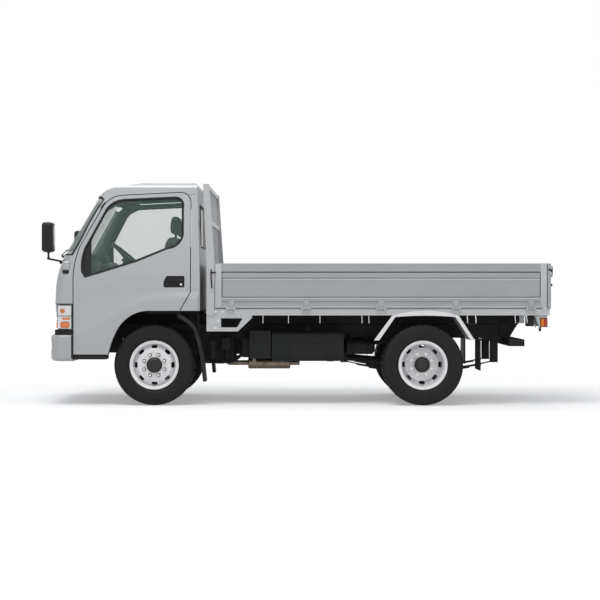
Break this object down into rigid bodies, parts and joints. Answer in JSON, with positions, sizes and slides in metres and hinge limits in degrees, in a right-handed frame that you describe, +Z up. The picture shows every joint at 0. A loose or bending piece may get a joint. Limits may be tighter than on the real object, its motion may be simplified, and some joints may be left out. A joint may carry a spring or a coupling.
{
  "type": "dump truck",
  "caption": "Small cab-over dump truck with a flat-fronted cab, a hydraulically tipped drop-side bed, steered front wheels and twin rear wheels.",
  "frame": {"origin": "on the ground midway along and across the truck", "axes": "+Z up, -X towards the cab's front, -Y the driver's left side"},
  "size_m": [4.7168, 2.104, 2.092],
  "materials": {
    "cab_paint": "silver metallic, glossy",
    "bed_paint": "silver grey enamel, worn satin",
    "chassis_paint": "satin black",
    "black_plastic": "grained black",
    "interior_plastic": "grained dark grey",
    "lamp_plastic": "clear and amber lens",
    "tyre_rubber": "matt tread rubber",
    "wheel_paint": "silver enamel",
    "cast_metal": "rough black",
    "steel": "bright steel",
    "silencer_steel": "heat-tinted steel",
    "clear_glass": "clear, slightly green",
    "seat_cloth": "woven grey",
    "flap_rubber": "matt black"
  },
  "bodies": {
    "chassis": {"frame_rails": "chassis_paint", "frame_crossmembers": "chassis_paint", "tip_brackets": "chassis_paint", "engine_block": "cast_metal", "front_axle": "cast_metal", "rear_axle": "cast_metal", "leaf_springs": "cast_metal", "fuel_tank": "chassis_paint", "battery_box": "black_plastic", "exhaust": "silencer_steel", "mudguards": "flap_rubber", "underrun_bar": "chassis_paint", "front_bumper": "cab_paint", "cab_shell": "cab_paint", "cab_front_panel": "cab_paint", "headlamps": "lamp_plastic", "grille": "black_plastic", "windscreen": "clear_glass", "rear_window": "clear_glass", "cab_floor": "interior_plastic", "dashboard": "interior_plastic", "seats": "seat_cloth", "mirrors": "black_plastic", "side_steps": "black_plastic"},
    "door_left": {"door_left": "cab_paint", "door_glass_left": "clear_glass"},
    "door_right": {"door_right": "cab_paint", "door_glass_right": "clear_glass"},
    "steering_wheel": {"steering_wheel": "black_plastic"},
    "knuckle_left": {"knuckle_left": "cast_metal"},
    "knuckle_right": {"knuckle_right": "cast_metal"},
    "tie_rod": {"tie_rod": "steel"},
    "bed": {"bed_frame": "chassis_paint", "bed_deck": "bed_paint", "headboard": "bed_paint", "corner_guards": "bed_paint", "rear_fenders": "bed_paint", "tail_lamps": "lamp_plastic", "gate_hinges": "bed_paint"},
    "gate_left": {"gate_left": "bed_paint"},
    "gate_right": {"gate_right": "bed_paint"},
    "tailgate": {"tailgate": "bed_paint"},
    "hoist_barrel": {"hoist_barrel": "chassis_paint"},
    "hoist_rod": {"hoist_rod": "steel"},
    "wheel_front_left": {"tyre_front_left": "tyre_rubber", "rim_front_left": "wheel_paint"},
    "wheel_front_right": {"tyre_front_right": "tyre_rubber", "rim_front_right": "wheel_paint"},
    "wheel_rear_left": {"tyre_rear_left": "tyre_rubber", "rim_rear_left": "wheel_paint"},
    "wheel_rear_right": {"tyre_rear_right": "tyre_rubber", "rim_rear_right": "wheel_paint"}
  },
  "joints": [
    {"name": "steer_left", "type": "hinge", "parent": "chassis", "child": "knuckle_left", "pos_m": [-1.3485, -0.62, 0.375], "axis": [0, 0, 1], "range_deg": [-35, 35]},
    {"name": "steer_right", "type": "hinge", "parent": "chassis", "child": "knuckle_right", "pos_m": [-1.3485, 0.62, 0.375], "axis": [0, 0, 1], "range_deg": [-35, 35]},
    {"name": "tie_rod_pivot", "type": "hinge", "parent": "knuckle_left", "child": "tie_rod", "pos_m": [-1.2185, -0.62, 0.302], "axis": [0, 0, 1], "range_deg": [-35, 35]},
    {"name": "steering_wheel_turn", "type": "hinge", "parent": "chassis", "child": "steering_wheel", "pos_m": [-1.6205, -0.38, 1.379], "axis": [0.6428, 0, 0.766], "range_deg": [-560, 560]},
    {"name": "spin_front_left", "type": "hinge", "parent": "knuckle_left", "child": "wheel_front_left", "pos_m": [-1.3485, -0.697, 0.375], "axis": [0, 1, 0], "continuous": true},
    {"name": "spin_front_right", "type": "hinge", "parent": "knuckle_right", "child": "wheel_front_right", "pos_m": [-1.3485, 0.697, 0.375], "axis": [0, 1, 0], "continuous": true},
    {"name": "spin_rear_left", "type": "hinge", "parent": "chassis", "child": "wheel_rear_left", "pos_m": [1.1515, -0.62, 0.375], "axis": [0, 1, 0], "continuous": true},
    {"name": "spin_rear_right", "type": "hinge", "parent": "chassis", "child": "wheel_rear_right", "pos_m": [1.1515, 0.62, 0.375], "axis": [0, 1, 0], "continuous": true},
    {"name": "door_left_swing", "type": "hinge", "parent": "chassis", "child": "door_left", "pos_m": [-2.0645, -0.835, 1.2], "axis": [0, 0, -1], "range_deg": [0, 70]},
    {"name": "door_right_swing", "type": "hinge", "parent": "chassis", "child": "door_right", "pos_m": [-2.0645, 0.835, 1.2], "axis": [0, 0, 1], "range_deg": [0, 70]},
    {"name": "bed_tip", "type": "hinge", "parent": "chassis", "child": "bed", "pos_m": [2.0715, 0, 0.79], "axis": [0, 1, 0], "range_deg": [0, 45]},
    {"name": "gate_left_drop", "type": "hinge", "parent": "bed", "child": "gate_left", "pos_m": [0.7585, -0.861, 0.902], "axis": [-1, 0, 0], "range_deg": [-178, 0]},
    {"name": "gate_right_drop", "type": "hinge", "parent": "bed", "child": "gate_right", "pos_m": [0.7585, 0.861, 0.902], "axis": [1, 0, 0], "range_deg": [-178, 0]},
    {"name": "tailgate_drop", "type": "hinge", "parent": "bed", "child": "tailgate", "pos_m": [2.3495, 0, 0.902], "axis": [0, -1, 0], "range_deg": [-178, 0]},
    {"name": "hoist_swing", "type": "hinge", "parent": "chassis", "child": "hoist_barrel", "pos_m": [0.5515, 0, 0.56], "axis": [0, -1, 0], "range_deg": [0, 12.2]},
    {"name": "hoist_extend", "type": "slide", "parent": "hoist_barrel", "child": "hoist_rod", "axis": [0.9873, 0, 0.1588], "range_m": [0, 0.126]}
  ],
  "couplings": [
    {"joint": "steer_right", "follows": "steer_left", "ratio": 1},
    {"joint": "tie_rod_pivot", "follows": "steer_left", "ratio": -1},
    {"joint": "steering_wheel_turn", "follows": "steer_left", "ratio": 16},
    {"joint": "hoist_swing", "follows": "bed_tip", "ratio": 0.2701},
    {"joint": "hoist_extend", "follows": "bed_tip", "m_per_rad": 0.15983}
  ]
}
